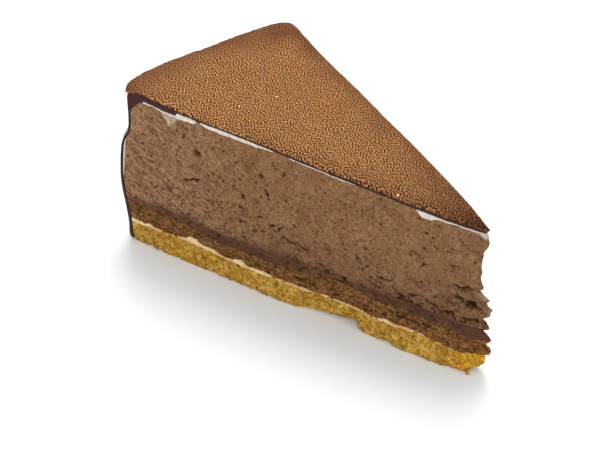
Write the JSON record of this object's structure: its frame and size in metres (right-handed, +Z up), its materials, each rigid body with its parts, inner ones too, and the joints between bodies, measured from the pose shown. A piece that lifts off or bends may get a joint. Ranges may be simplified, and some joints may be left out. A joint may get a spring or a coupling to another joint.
{
  "type": "slice of chocolate mousse cake",
  "caption": "Wedge of layered chocolate mousse cake with sponge base, dark glaze and a cocoa dusted top, standing on its base.",
  "frame": {"origin": "middle of the footprint's box, on the surface that the slice stands on", "axes": "+Z up, +X from the rim to the tip of the slice, +Y to its left as seen from the rim"},
  "size_m": [0.1304, 0.0702, 0.0568],
  "materials": {
    "yellow_sponge": "open yellow sponge crumb, matt",
    "cream": "thin cream, soft sheen",
    "cocoa_sponge": "coarse cocoa sponge crumb, matt",
    "ganache": "smooth set ganache, soft sheen",
    "mousse": "airy chocolate mousse full of small pores, cut with a knife",
    "white_icing": "soft white icing",
    "dark_glaze": "dark chocolate glaze, semi-gloss",
    "cocoa_dust": "dry cocoa powder, fine grain"
  },
  "bodies": {
    "root": {"yellow_sponge": "yellow_sponge", "cream_film": "cream", "cocoa_sponge": "cocoa_sponge", "ganache": "ganache", "mousse": "mousse", "white_icing": "white_icing", "dark_glaze": "dark_glaze", "cocoa_dust": "cocoa_dust"}
  },
  "joints": []
}
